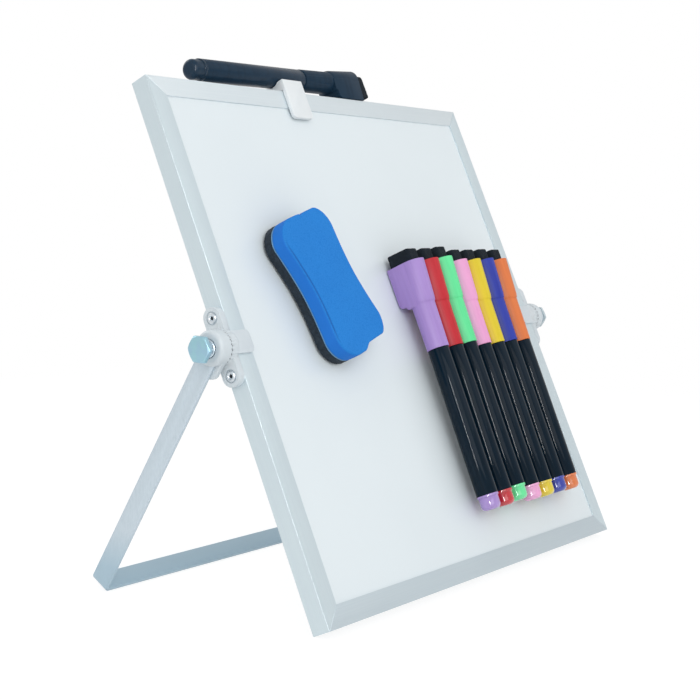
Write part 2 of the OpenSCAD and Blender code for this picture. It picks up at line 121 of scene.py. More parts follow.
class Paint(Graph):
    # one material; the values that are the same all over are set straight on the shader
    def __init__(self, name, colour, **fixed):
        self.material = bpy.data.materials.new(name)
        self.material.use_nodes = True
        super().__init__(self.material.node_tree)
        self.shader = self.tree.nodes["Principled BSDF"]
        self.colour = rgb(*colour)
        self.set("Base Color", self.colour)
        for key, value in fixed.items():
            self.set(key.replace("_", " "), value)

    def set(self, key, value):
        self.join(value, self.shader.inputs[key])

    def place(self):
        return self.node("TexCoord", {}, {}, 3)

    def placeOn(self, centre, turn, scale):
        # object coordinates seen from a piece's own frame, then stretched
        own = self.node("Mapping", {"vector_type": "TEXTURE"}, {0: self.place(), 1: centre, 2: turn})
        return self.node("Mapping", {}, {0: own, 3: scale})

    def noise(self, where, scale, detail=2, rough=0.5):
        return self.node("TexNoise", {}, {"Vector": where, "Scale": scale, "Detail": detail, "Roughness": rough})

    def cells(self, where, scale):
        return self.node("TexVoronoi", {}, {"Vector": where, "Scale": scale})

    def blend(self, factor, a, b):
        return self.node("Mix", {"data_type": "RGBA", "clamp_factor": True}, {0: factor, 6: a, 7: b}, 2)

    def tint(self, factor, other):
        # base colour going over to another one where factor is high
        self.set("Base Color", self.blend(factor, self.colour, rgb(*other)))

    def rise(self, height, deep):
        # height from 0 to 1, deep in metres
        self.set("Normal", self.node("Bump", {}, {"Strength": 1.0, "Distance": deep, "Height": height}))


# modelling kit

def only(piece):
    if bpy.context.mode != "OBJECT":
        bpy.ops.object.mode_set(mode="OBJECT")
    bpy.ops.object.select_all(action="DESELECT")
    piece.select_set(True)
    bpy.context.view_layer.objects.active = piece


def edit(piece):
    only(piece)
    bpy.ops.object.mode_set(mode="EDIT")
    bpy.ops.mesh.select_all(action="DESELECT")


def done():
    bpy.ops.object.mode_set(mode="OBJECT")


def takeCopy(node, name):
    # the solid's own mesh, merged into clean faces
    piece = bpy.data.objects.new(name, frame["nodes"][node].data.copy())
    piece.data.name = name
    piece.data.materials.clear()
    bpy.context.scene.collection.objects.link(piece)
    edit(piece)
    bpy.ops.mesh.select_all(action="SELECT")
    bpy.ops.mesh.remove_doubles(threshold=0.000002)
    bpy.ops.mesh.dissolve_limited(angle_limit=math.radians(0.4))
    bpy.ops.mesh.select_all(action="DESELECT")
    done()
    return piece


def roundEdges(piece, width, steps, choose=None, own=onBoard, sharp=32):
    # rounds the sharp edges whose middle passes choose, given in the piece's own frame in millimetres
    edit(piece)
    mesh = bmesh.from_edit_mesh(piece.data)
    back = own.inverted()
    for edge in mesh.edges:
        keen = len(edge.link_faces) == 2 and edge.calc_face_angle(0) > math.radians(sharp)
        edge.select_set(bool(keen and (choose is None or choose(back @ ((edge.verts[0].co + edge.verts[1].co) / 2)))))
    bmesh.update_edit_mesh(piece.data)
    bpy.ops.mesh.bevel(offset=width / 1000, segments=steps, profile=0.5, clamp_overlap=True)
    done()


def smooth(piece, angle=38):
    only(piece)
    bpy.ops.object.shade_smooth_by_angle(angle=math.radians(angle))


def modify(piece, kind, **settings):
    only(piece)
    change = piece.modifiers.new(kind.lower(), kind)
    for key, value in settings.items():
        setattr(change, key, value)
    bpy.ops.object.modifier_apply(modifier=change.name)


def points(piece, own):
    # vertex places in a piece's own frame, in millimetres
    flat = np.empty(len(piece.data.vertices) * 3)
    piece.data.vertices.foreach_get("co", flat)
    world = np.c_[flat.reshape(-1, 3), np.ones(len(flat) // 3)]
    return (world @ np.array(own.inverted()).T)[:, :3]


def movePoints(piece, own, places):
    world = np.c_[places, np.ones(len(places))] @ np.array(own).T
    piece.data.vertices.foreach_set("co", world[:, :3].ravel())
    piece.data.update()


def ringOf(name, profile, steps):
    # lathes a closed outline of (x, radius) points in millimetres round the X axis, beginning at +Z
    bpy.ops.mesh.primitive_circle_add(vertices=len(profile), radius=0.01)
    piece = bpy.context.active_object
    piece.name = name
    places = np.array([(x / 1000, 0, r / 1000) for x, r in profile])
    piece.data.vertices.foreach_set("co", places.ravel())
    edit(piece)
    bpy.ops.mesh.select_all(action="SELECT")
    bpy.ops.mesh.spin(steps=steps, angle=2 * math.pi, center=(0, 0, 0), axis=(1, 0, 0))
    bpy.ops.mesh.select_all(action="SELECT")
    bpy.ops.mesh.remove_doubles(threshold=0.000001)
    bpy.ops.mesh.normals_make_consistent(inside=False)
    done()
    return piece


def choosePoints(piece, test):
    # selects the points of the piece in edit mode that pass a test on their place in millimetres
    edit(piece)
    bpy.ops.mesh.select_mode(type="VERT")
    mesh = bmesh.from_edit_mesh(piece.data)
    for vertex in mesh.verts:
        vertex.select_set(bool(test(vertex.co * 1000)))
    mesh.select_flush_mode()
    bmesh.update_edit_mesh(piece.data)


def settle(piece, where):
    # puts a piece's place into its mesh
    bpy.context.view_layer.update()
    piece.data.transform(where @ piece.matrix_world)
    piece.matrix_world = Matrix.Identity(4)
    piece.data.update()


def otherSide(piece, name):
    # a mirrored copy with its own mesh
    twin = bpy.data.objects.new(name, piece.data.copy())
    twin.data.name = name
    bpy.context.scene.collection.objects.link(twin)
    edit(twin)
    bpy.ops.mesh.select_all(action="SELECT")
    bpy.ops.transform.mirror(orient_type="GLOBAL", constraint_axis=(True, False, False), center_override=(0, 0, 0))
    bpy.ops.mesh.normals_make_consistent(inside=False)
    done()
    return twin


def cutWith(piece, tool, how):
    modify(piece, "BOOLEAN", operation=how, object=tool, solver="EXACT")
    bpy.data.objects.remove(tool)


def dress(piece, paint, body, slot, *nodes):
    piece.data.materials.append(paint.material)
    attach(piece, body)
    if nodes:
        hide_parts(*nodes)


def carry(node, paint):
    # a solid that stays as it is, in its finish
    mesh = frame["nodes"][node].data
    mesh.materials.clear()
    mesh.materials.append(paint.material)


bodyOf = {n: body for body, group in frame["record"]["behaviour"]["bodies"].items() for n in group}
slotOf = {s["node"]: s["material_slot"] for s in frame["record"]["subparts"]}


# camera, stage and light

camera = {"place": (-0.59115, -0.40819, 0.18112), "heading": 53.49, "pitch": -5.256, "roll": 1.726,
          "lens": 74.22, "sensor": 36, "shift": (0.0157, -0.0271), "near": 0.02, "far": 20}
eye = bpy.data.objects.new("camera", bpy.data.cameras.new("camera"))
eye.data.lens = camera["lens"]
eye.data.sensor_width = camera["sensor"]
eye.data.shift_x, eye.data.shift_y = camera["shift"]
eye.data.clip_start, eye.data.clip_end = camera["near"], camera["far"]
eye.matrix_world = (Matrix.Translation(camera["place"]) @ Matrix.Rotation(-math.radians(camera["heading"]), 4, "Z")
                    @ Matrix.Rotation(math.radians(90 + camera["pitch"]), 4, "X")
                    @ Matrix.Rotation(math.radians(camera["roll"]), 4, "Z"))
bpy.context.scene.collection.objects.link(eye)
bpy.context.scene.camera = eye
bpy.context.scene.view_settings.view_transform = "Standard"

# the floor keeps the object's shadow close by and is plain white farther out
stage = {"half": 4, "colour": (235, 235, 235), "rough": 0.9, "floorShade": 0.8, "seenGlow": 0.86, "seenShade": 0.2,
         "shadowEnds": (0.35, 0.75), "worldLight": 0.7}
bpy.ops.mesh.primitive_plane_add(size=2 * stage["half"], location=(0, 0, 0))
floor = bpy.context.active_object
floor.name = "floor"
floorPaint = Paint("floorPaint", stage["colour"], Roughness=stage["rough"])
rays = floorPaint.node("LightPath", {}, {})
seen = rays.reckon("MAXIMUM", rays, floorPaint.outlet(rays, "Is Glossy Ray"))
plain = floorPaint.node("BsdfDiffuse", {}, {"Color": (stage["floorShade"],) * 3 + (1,)})
shadowed = floorPaint.node("BsdfDiffuse", {}, {"Color": (stage["seenShade"],) * 3 + (1,)})
glow = floorPaint.node("Emission", {}, {"Color": (1, 1, 1, 1), "Strength": stage["seenGlow"]})
white = floorPaint.node("Emission", {}, {"Color": (1, 1, 1, 1), "Strength": 1})
away = floorPaint.node("VectorMath", {"operation": "LENGTH"}, {0: floorPaint.place()}, 1)
nearFloor = floorPaint.node("AddShader", {}, {0: shadowed, 1: glow})
farther = floorPaint.ramp(away, *stage["shadowEnds"])
seenFloor = floorPaint.node("MixShader", {}, {0: farther, 1: nearFloor, 2: white})
wholeFloor = floorPaint.node("MixShader", {}, {0: seen, 1: plain, 2: seenFloor})
floorPaint.join(wholeFloor, floorPaint.tree.nodes["Material Output"].inputs["Surface"])
floor.data.materials.append(floorPaint.material)

# the room lights the object softly, and shows as white to the camera and through clear things
world = bpy.data.worlds.new("room")
bpy.context.scene.world = world
world.use_nodes = True
sky = Graph(world.node_tree)
skyLight = sky.tree.nodes["Background"]
skyLight.inputs["Color"].default_value = (1, 1, 1, 1)
skyRays = sky.node("LightPath", {}, {})
skySeen = skyRays.reckon("MAXIMUM", skyRays, sky.outlet(skyRays, "Is Transmission Ray"))
sky.join(sky.ramp(skySeen, 0, 1, stage["worldLight"], 1), skyLight.inputs["Strength"])

# soft lamps: name, place, aimed at, width and height, watts
# the narrow one is seen only in gloss, and draws the thin streaks on the barrels
lamps = [
    ("keyLamp", (-0.85, -1.35, 0.9), (0, 0, 0.12), (1.3, 1.3), 8.4),
    ("rightLamp", (0.6, -1.3, 1.4), (0, 0, 0.12), (1.4, 1.4), 3),
    ("leftLamp", (-1.4, 0.1, 0.7), (0, 0, 0.1), (0.9, 0.9), 1.3),
    ("backLamp", (-0.2, 1.4, 1.0), (0, 0, 0.1), (1.0, 1.0), 4),
    ("streakLamp", (-0.995, -0.62, 0.43), (0.05, -0.03, 0.07), (0.06, 0.8), 7),
]
for name, place, aim, size, watts in lamps:
    lamp = bpy.data.objects.new(name, bpy.data.lights.new(name, "AREA"))
    lamp.data.shape = "RECTANGLE"
    lamp.data.size, lamp.data.size_y = size
    lamp.data.energy = watts
    lamp.location = place
    lamp.rotation_euler = (Vector(aim) - Vector(place)).to_track_quat("-Z", "Y").to_euler()
    lamp.visible_diffuse = name != "streakLamp"
    bpy.context.scene.collection.objects.link(lamp)
print("camera, stage and lamps are set")


# finishes: scales are per metre, depths in metres, gloss is the roughness from smoothest to roughest

boardCentre = (0, board["pivotY"] / 1000, board["pivotZ"] / 1000)
boardAngles = (boardTurn, 0, 0)
fullNoise = (0.3, 0.7)
upperNoise = (0.4, 0.7)

# writing sheets: white lacquer on steel, very slightly cloudy, with the faintest orange peel
sheetLook = {"colour": (230, 239, 243), "cloud": (227, 236, 240), "shine": 0.4, "gloss": (0.23, 0.27),
             "cloudScale": 9, "peelScale": 420, "peelDeep": 0.000008}
sheetPaint = Paint("sheetPaint", sheetLook["colour"], Specular_IOR_Level=sheetLook["shine"])
here = sheetPaint.place()
clouds = sheetPaint.noise(here, sheetLook["cloudScale"])
sheetPaint.tint(sheetPaint.ramp(clouds, *upperNoise), sheetLook["cloud"])
sheetPaint.set("Roughness", sheetPaint.ramp(clouds, *fullNoise, *sheetLook["gloss"]))
sheetPaint.rise(sheetPaint.noise(here, sheetLook["peelScale"]), sheetLook["peelDeep"])

# frame bars: satin anodised aluminium with fine draw lines along the bar; the lower bar is painted darkest and the
# upright bars a little darker than the top bar, as painted shade on one finish
barLook = {"front": (222, 231, 235), "frontDark": (217, 227, 232), "low": (202, 214, 220), "lowDark": (195, 208, 215),
           "side": (213, 226, 231), "sideDark": (207, 221, 227), "metal": 0.35, "gloss": (0.34, 0.44),
           "alongScale": 16, "acrossScale": 2400, "lineRough": 0.65, "broadScale": 14, "speckScale": 2600,
           "dark": (0.36, 0.68), "deep": 0.00001}


def barPaint(name, stretch, colour, dark):
    paint = Paint(name, colour, Metallic=barLook["metal"])
    lines = paint.noise(paint.placeOn(boardCentre, boardAngles, stretch), 1, 3, barLook["lineRough"])
    broad = paint.noise(paint.place(), barLook["broadScale"])
    speck = paint.noise(paint.place(), barLook["speckScale"], 1)
    paint.tint(paint.ramp(lines * 0.5 + broad * 0.5, *barLook["dark"]), dark)
    paint.set("Roughness", paint.ramp(lines * 0.7 + speck * 0.3, *fullNoise, *barLook["gloss"]))
    paint.rise(lines * 0.7 + speck * 0.3, barLook["deep"])
    return paint


levelLines = (barLook["alongScale"], barLook["acrossScale"], barLook["acrossScale"])
uprightLines = (barLook["acrossScale"], barLook["alongScale"], barLook["acrossScale"])
# the top bar has the plain colours; the lower and upright bars get darker copies of them as painted shade
acrossPaint = barPaint("acrossPaint", levelLines, barLook["front"], barLook["frontDark"])
lowShadedPaint = barPaint("lowShadedPaint", levelLines, barLook["low"], barLook["lowDark"])
uprightShadedPaint = barPaint("uprightShadedPaint", uprightLines, barLook["side"], barLook["sideDark"])

mouldedLook = {"flowScale": 60, "tinyScale": 3200, "smoother": 0.05, "rougher": 0.07, "gloss": 0.42, "deep": 0.00003}


def mouldedPaint(name, colour, shade, gloss=mouldedLook["gloss"], deep=mouldedLook["deep"]):
    # moulded part with a fine eroded grain and soft flow shading
    paint = Paint(name, colour)
    here = paint.place()
    flow = paint.noise(here, mouldedLook["flowScale"])
    tiny = paint.noise(here, mouldedLook["tinyScale"])
    paint.tint(paint.ramp(flow, *upperNoise), shade)
    ends = (gloss - mouldedLook["smoother"], gloss + mouldedLook["rougher"])
    paint.set("Roughness", paint.ramp(tiny, *fullNoise, *ends))
    paint.rise(tiny * 0.75 + flow * 0.25, deep)
    return paint


# painted shade between the teeth of the two crowns: a dark ring where they meet stands in for the shade in the gap;
# seam is where they meet, in millimetres from the middle
crownShadeLook = {"colour": (92, 100, 110), "seam": 132.27, "half": 0.62, "fade": 0.15, "radius": (7.5, 7.78)}


def paintCrownShade(paint):
    spot = paint.node("Mapping", {"vector_type": "TEXTURE"}, {0: paint.place(), 1: boardCentre, 2: boardAngles})
    split = paint.node("SeparateXYZ", {}, {0: spot})
    sideways = paint.node("Math", {"operation": "ABSOLUTE"}, {0: split}) * 1000
    up = paint.outlet(split, "Y") * 1000
    out = paint.outlet(split, "Z") * 1000
    fromSeam = paint.node("Math", {"operation": "ABSOLUTE"}, {0: sideways - crownShadeLook["seam"]})
    inSeam = paint.ramp(fromSeam, crownShadeLook["half"], crownShadeLook["half"] + crownShadeLook["fade"], 1, 0)
    # painted shade: round the seam, inside the crowns' rim, the colour is blended towards a dark grey-blue
    crown = inSeam * paint.ramp((up * up + out * out) ** 0.5, *crownShadeLook["radius"], 1, 0)
    unshadedColour = Wire(paint, paint.shader.inputs["Base Color"].links[0].from_socket)
    paint.set("Base Color", paint.blend(crown, unshadedColour, rgb(*crownShadeLook["colour"])))


mouldingPaint = mouldedPaint("mouldingPaint", (214, 223, 228), (207, 217, 223))
# the hubs and brackets carry the painted shade between the crowns
paintCrownShade(mouldingPaint)
clipPaint = mouldedPaint("clipPaint", (235, 240, 242), (230, 236, 239), 0.36)

platedLook = {"metal": 0.75, "driftScale": 220, "drift": (0.38, 0.66), "tinyScale": 1800, "tiny": (0.3, 0.75),
              "smoother": 0.03, "rougher": 0.05, "deep": 0.000003}


def platedPaint(name, colour, shade, gloss, scale=platedLook["tinyScale"]):
    # plated steel with a slight drift of colour and fine scratches
    paint = Paint(name, colour, Metallic=platedLook["metal"])
    here = paint.place()
    drift = paint.noise(here, platedLook["driftScale"])
    tiny = paint.noise(here, scale, 3, 0.6)
    paint.tint(paint.ramp(drift, *platedLook["drift"]), shade)
    ends = (gloss - platedLook["smoother"], gloss + platedLook["rougher"])
    paint.set("Roughness", paint.ramp(tiny, *platedLook["tiny"], *ends))
    paint.rise(tiny, platedLook["deep"])
    return paint


rivetPaint = platedPaint("rivetPaint", (214, 221, 226), (196, 205, 212), 0.3)
# painted shade: the pins are near black so that the rivet bores look dark
pinShadePaint = platedPaint("pinShadePaint", (26, 30, 34), (40, 45, 50), 0.6)
nutPaint = platedPaint("nutPaint", (154, 167, 173), (134, 147, 155), 0.36)
spacerPaint = platedPaint("spacerPaint", (206, 221, 231), (192, 209, 221), 0.34)
boltPaint = platedPaint("boltPaint", (160, 203, 214), (160, 197, 216), 0.36, 900)
# painted reflection: the far bolt is the same zinc bolt, but gets a paler, greyer, non-metal paint that stands in for
# the pale reflection on it
farBoltReflectionPaint = mouldedPaint("farBoltReflectionPaint", (196, 210, 216), (188, 203, 210), 0.4, platedLook["deep"])
keyPaint = platedPaint("keyPaint", (141, 149, 155), (126, 134, 141), 0.4)

# leg: steel strip in a satin coat with rolling lines, darker and bluer for the last few centimetres above the floor
legLook = {"colour": (205, 218, 227), "lines": (199, 213, 222), "lowTone": (174, 198, 212), "lowToneBelow": (0.03, 0.012),
           "metal": 0.3, "gloss": (0.36, 0.46), "stretch": (14, 900, 300), "lineRough": 0.6, "lined": (0.4, 0.68),
           "fineScale": 2400, "deep": 0.00001}
legPaint = Paint("legPaint", legLook["colour"], Metallic=legLook["metal"])
legHere = legPaint.place()
legLines = legPaint.noise(legPaint.node("Mapping", {}, {0: legHere, 3: legLook["stretch"]}), 1, 3, legLook["lineRough"])
legFine = legPaint.noise(legHere, legLook["fineScale"])
legTone = legPaint.blend(legPaint.ramp(legLines, *legLook["lined"]), legPaint.colour, rgb(*legLook["lines"]))
legHeight = legPaint.outlet(legPaint.node("SeparateXYZ", {}, {0: legHere}), "Z")
# darker and bluer below 30 mm up, fully so below 12 mm
legLowTone = legPaint.ramp(legHeight, *legLook["lowToneBelow"])
legPaint.set("Base Color", legPaint.blend(legLowTone, legTone, rgb(*legLook["lowTone"])))
legPaint.set("Roughness", legPaint.ramp(legFine, *fullNoise, *legLook["gloss"]))
legPaint.rise(legLines * 0.4 + legFine * 0.6, legLook["deep"])

# fibreboard core, seen only when taken apart
coreLook = {"colour": (184, 155, 114), "fibre": (156, 127, 88), "scale": 700, "rough": 0.7, "dark": (0.35, 0.7),
            "gloss": (0.75, 0.95), "deep": 0.00008}
corePaint = Paint("corePaint", coreLook["colour"])
coreFibre = corePaint.noise(corePaint.place(), coreLook["scale"], 4, coreLook["rough"])
corePaint.tint(corePaint.ramp(coreFibre, *coreLook["dark"]), coreLook["fibre"])
corePaint.set("Roughness", corePaint.ramp(coreFibre, *fullNoise, *coreLook["gloss"]))
corePaint.rise(coreFibre, coreLook["deep"])

# eraser foam: bright blue with fine closed cells; its sides are painted a deeper blue as painted shade, and the crease
# round its top is painted dark as painted shade
foamLook = {"colour": (37, 133, 217), "pit": (33, 125, 210), "side": (33, 119, 212), "creaseShade": (22, 84, 165),
            "shine": 0.2, "gloss": (0.68, 0.85), "cellScale": 1500, "cells": (0.2, 0.8), "softScale": 45,
            "pits": (0.35, 0.7), "deep": 0.00005}
foamPaint = Paint("foamPaint", foamLook["colour"], Specular_IOR_Level=foamLook["shine"])
foamHere = foamPaint.place()
foamCells = foamPaint.cells(foamHere, foamLook["cellScale"])
foamSoft = foamPaint.noise(foamHere, foamLook["softScale"])
foamSideShade = foamPaint.node("Attribute", {"attribute_name": "side"}, {}, 2)
foamCreaseShade = foamPaint.node("Attribute", {"attribute_name": "creaseShade"}, {}, 2)
foamPits = foamPaint.ramp(foamCells * 0.6 + foamSoft * 0.4, *foamLook["pits"])
foamTop = foamPaint.blend(foamPits, foamPaint.colour, rgb(*foamLook["pit"]))
# painted shade: the side walls go over to a deeper, darker blue
foamShadedWall = foamPaint.blend(foamSideShade, foamTop, rgb(*foamLook["side"]))
# painted shade: the crease goes over to a dark blue
foamPaint.set("Base Color", foamPaint.blend(foamCreaseShade, foamShadedWall, rgb(*foamLook["creaseShade"])))
foamPaint.set("Roughness", foamPaint.ramp(foamCells, *foamLook["cells"], *foamLook["gloss"]))
foamPaint.rise(1 - foamCells, foamLook["deep"])

feltLook = {"sheenGloss": 0.6, "shine": 0.1, "bendScale": 500, "hairScale": 1900, "hairRough": 0.7, "hairTangle": 1.6,
            "bloom": (0.42, 0.66), "gloss": (0.85, 0.98), "deep": 0.00022}


def feltPaint(name, colour, light, sheen):
    # pressed wool felt: tangled hairs, a pale bloom and no shine
    paint = Paint(name, colour, Sheen_Weight=sheen, Sheen_Roughness=feltLook["sheenGloss"],
                  Specular_IOR_Level=feltLook["shine"])
    here = paint.place()
    bend = paint.noise(here, feltLook["bendScale"])
    hair = paint.node("TexNoise", {}, {"Vector": here, "Scale": feltLook["hairScale"], "Detail": 4,
                                       "Roughness": feltLook["hairRough"], "Distortion": feltLook["hairTangle"]})
    paint.tint(paint.ramp(hair * 0.7 + bend * 0.3, *feltLook["bloom"]), light)
    paint.set("Roughness", paint.ramp(hair, *fullNoise, *feltLook["gloss"]))
    paint.rise(hair, feltLook["deep"])
    return paint


eraserFeltPaint = feltPaint("eraserFeltPaint", (32, 42, 51), (58, 69, 80), 0.06)
capFeltPaint = feltPaint("capFeltPaint", (24, 32, 39), (34, 43, 51), 0.04)
magnetPaint = mouldedPaint("magnetPaint", (112, 160, 196), (98, 148, 188), 0.55)

# markers: each colour with its darker flow lines, and each piece's gloss
penColours = {
    "purple": ((175, 145, 213), (168, 138, 206)),
    "red": ((201, 37, 49), (191, 32, 44)),
    "green": ((106, 238, 162), (97, 230, 154)),
    "pink": ((243, 170, 217), (236, 162, 210)),
    "yellow": ((230, 207, 45), (223, 199, 39)),
    "blue": ((42, 60, 172), (36, 52, 162)),
    "orange": ((230, 126, 68), (223, 118, 61)),
    "black": ((25, 50, 70), (21, 44, 63)),
    "barrel": ((10, 30, 44), (8, 27, 40)),
}
penFinishes = {
    "cap": {"gloss": 0.46, "shine": 0.35, "coat": 0, "deep": 0.00001},
    "plug": {"gloss": 0.13, "shine": 0.5, "coat": 0.8, "deep": 0.00001},
    "barrel": {"gloss": 0.08, "shine": 0.13, "coat": 0, "deep": 0.0000015},
    "blackCap": {"gloss": 0.38, "shine": 0.12, "coat": 0, "deep": 0.00001},
    "blackPlug": {"gloss": 0.2, "shine": 0.25, "coat": 0, "deep": 0.00001},
    "blackBarrel": {"gloss": 0.24, "shine": 0.16, "coat": 0, "deep": 0.000003},
}
penLook = {"coatGloss": 0.1, "stretch": (420, 22, 420), "flowRough": 0.55, "tinyScale": 2600, "dark": (0.42, 0.66),
           "mixed": (0.35, 0.65), "smoother": 0.02, "rougher": 0.04}


def penPaint(name, colours, finish):
    # moulded plastic with faint flow lines down the marker's length
    paint = Paint(name, colours[0], Specular_IOR_Level=finish["shine"], Coat_Weight=finish["coat"],
                  Coat_Roughness=penLook["coatGloss"])
    flow = paint.noise(paint.placeOn(boardCentre, boardAngles, penLook["stretch"]), 1, 3, penLook["flowRough"])
    tiny = paint.noise(paint.place(), penLook["tinyScale"])
    mixed = tiny * 0.5 + flow * 0.5
    paint.tint(paint.ramp(flow, *penLook["dark"]), colours[1])
    ends = (finish["gloss"] - penLook["smoother"], finish["gloss"] + penLook["rougher"])
    paint.set("Roughness", paint.ramp(mixed, *penLook["mixed"], *ends))
    paint.rise(mixed, finish["deep"])
    return paint


barrelPaint = penPaint("barrelPaint", penColours["barrel"], penFinishes["barrel"])
penPaints = {pen: {"Cap": penPaint(pen + "Plastic", penColours[pen], penFinishes["cap"]), "Barrel": barrelPaint,
                   "Plug": penPaint(pen + "Plug", penColours[pen], penFinishes["plug"])} for pen in pens[:-1]}
penPaints["black"] = {kind: penPaint("black" + kind + "Plastic", penColours["black"], penFinishes["black" + kind])
                      for kind in ("Cap", "Barrel", "Plug")}
print("finishes are ready")


# board

def plainPiece(node, name, paint, rounding, steps=2, choose=None, sharp=32):
    piece = takeCopy(node, name)
    if rounding:
        roundEdges(piece, rounding, steps, choose, sharp=sharp)
    smooth(piece)
    dress(piece, paint, bodyOf[node], slotOf[node], node)


frameBars = {"outerRound": 0.35, "paints": {"left": uprightShadedPaint, "right": uprightShadedPaint, "top": acrossPaint,
                                            "bottom": lowShadedPaint}, "roundOutside": 120, "roundOffMiddle": 4}
for bar, paint in frameBars["paints"].items():
    plainPiece("frame_" + bar, bar + "Bar", paint, frameBars["outerRound"], 2,
               lambda p: max(abs(p.x), abs(p.y)) > frameBars["roundOutside"] and abs(p.z) > frameBars["roundOffMiddle"])
for node, paint in (("front_sheet", sheetPaint), ("rear_sheet", sheetPaint), ("core_board", corePaint),
                    ("corner_keys", keyPaint), ("pivot_nuts", nutPaint)):
    carry(node, paint)
print("board is dressed")

# hinges and leg: x is measured from the board's middle, in millimetres

hinge = {"teeth": 24, "toothDeep": 0.5, "splay": 29.873, "stripRound": 0.3, "hubSmooth": 36,
         "bracketRound": 0.6, "bracketTo": 131.2, "bossHalf": 8, "plateFront": 4.81,
         "boltRound": 0.5, "boltFrom": 143.4, "boltSharp": 15}
onLeg = inMillimetres @ atPivot @ Matrix.Rotation(math.radians(hinge["splay"]), 4, "X") @ inMillimetres.inverted()
hubShape = {"start": 132.35, "strip": 135.2, "cover": 137, "end": 138.85, "radius": 7.85, "edge": 2, "edgePoints": 10,
            "crown": 4.08, "toothIn": 0.15, "toothSide": 1.2, "bore": 2.5, "cup": 4.1, "cupChamfer": (0.25, 0.2),
            "stripHalf": 5, "slotLong": 10, "lugHalf": 7.2, "lugLong": 13.5, "lugThick": 2.6, "lugCorner": 4.2,
            "lugRound": 0.6, "lugRoundBelow": -2}


def addBlock(low, high):
    # a box between two corners in millimetres
    centre = [(a + b) / 2000 for a, b in zip(low, high)]
    bpy.ops.mesh.primitive_cube_add(size=1, location=centre, scale=[(b - a) / 1000 for a, b in zip(low, high)])
    block = bpy.context.active_object
    settle(block, Matrix.Identity(4))
    return block


def makeHub(name):
    h = hubShape
    near = 0.1
    fillet = [(h["end"] - h["edge"] * (1 - math.sin(t)), h["radius"] - h["edge"] * (1 - math.cos(t)))
              for t in np.linspace(0, math.pi / 2, h["edgePoints"])]
    crown = [(h["start"], r) for r in (h["bore"], h["crown"], h["crown"] + h["toothIn"], h["radius"])]
    cup = [(h["end"], h["cup"] + h["cupChamfer"][0]), (h["end"] - h["cupChamfer"][1], h["cup"]),
           (h["strip"], h["cup"]), (h["strip"], h["bore"])]
    hub = ringOf(name, crown + [(h["start"] + h["toothSide"], h["radius"])] + fillet + cup, 4 * hinge["teeth"])
    # every fourth spoke of the crown's face sinks, which makes the teeth
    spoke = math.pi / 2 / hinge["teeth"]
    choosePoints(hub, lambda p: p.x < h["start"] + near and math.hypot(p.y, p.z) > h["crown"] + near
                 and abs((math.atan2(p.y, p.z) / spoke + 2) % 4 - 2) < near)
    bpy.ops.transform.translate(value=(hinge["toothDeep"] / 1000, 0, 0))
    done()
    # lug behind the strip, with its two lower corners round
    lug = addBlock((h["strip"] - h["lugThick"], -h["lugHalf"], -h["lugLong"]), (h["strip"], h["lugHalf"], 0))
    roundEdges(lug, h["lugCorner"], 10, lambda p: p.z < near - h["lugLong"] and abs(p.y) > h["lugHalf"] - near
               and abs(p.x - h["strip"] + h["lugThick"] / 2) < near, inMillimetres)
    roundEdges(lug, h["lugRound"], 3, lambda p: p.z < h["lugRoundBelow"], inMillimetres, 60)
    cutWith(hub, lug, "UNION")
    # slot for the strip
    slot = addBlock((h["strip"], -h["stripHalf"], -h["slotLong"]), (h["cover"], h["stripHalf"], 0))
    cutWith(hub, slot, "DIFFERENCE")
    settle(hub, onLeg)
    return hub


rightHub = makeHub("rightHub")
leftHub = otherSide(rightHub, "leftHub")
for side, piece in (("right", rightHub), ("left", leftHub)):
    smooth(piece, hinge["hubSmooth"])
    dress(piece, mouldingPaint, "leg", slotOf[side + "_hub"], side + "_hub")


def besideCrown(p):
    # on the bracket's plates and clamp, clear of the crown
    return abs(p.x) < hinge["bracketTo"] and (abs(p.z) > hinge["plateFront"] or abs(p.y) > hinge["bossHalf"])


for side, paint in (("left", boltPaint), ("right", farBoltReflectionPaint)):
    plainPiece(side + "_pivot_bracket", side + "Bracket", mouldingPaint, hinge["bracketRound"], 3,
               besideCrown)
    plainPiece(side + "_spacer", side + "Spacer", spacerPaint, 0)
    plainPiece(side + "_bolt", side + "Bolt", paint, hinge["boltRound"], 4,
               lambda p: abs(p.x) > hinge["boltFrom"], hinge["boltSharp"])

# broken-off pins inside the hollow rivets, painted near black as painted shade in the rivet bores
pins = {"radius": 0.79, "from": 125.5, "to": 130.3, "places": {"Lower": -13.2, "Upper": 13.2}, "round": 0.25}
for side, sign in (("left", -1), ("right", 1)):
    for end, y in pins["places"].items():
        bpy.ops.mesh.primitive_cylinder_add(vertices=32, radius=pins["radius"] / 1000,
                                            depth=(pins["to"] - pins["from"]) / 1000, rotation=(0, math.pi / 2, 0))
        pin = bpy.context.active_object
        pin.name = side + end + "Pin"
        place = Matrix.Translation((sign * (pins["from"] + pins["to"]) / 2, y, 0))
        settle(pin, onBoard @ place @ inMillimetres.inverted())
        roundEdges(pin, pins["round"], 2)
        smooth(pin)
        dress(pin, pinShadePaint, "board", "rivet")
plainPiece("bracket_rivets", "rivets", rivetPaint, 0)
plainPiece("leg_strip", "legStrip", legPaint, hinge["stripRound"])
print("hinges and leg are dressed")

# markers

marker = {"Cap": 0.35, "Barrel": 0.2, "Plug": 0.15, "feltRound": 0.7, "feltVoxel": 0.42, "feltFuzz": 0.3,
          "feltMiddle": 0.62, "fuzzScale": 1.1}
fuzz = bpy.data.textures.new("feltFuzz", "CLOUDS")
fuzz.noise_scale = marker["fuzzScale"] / 1000
fuzz.noise_depth = 2


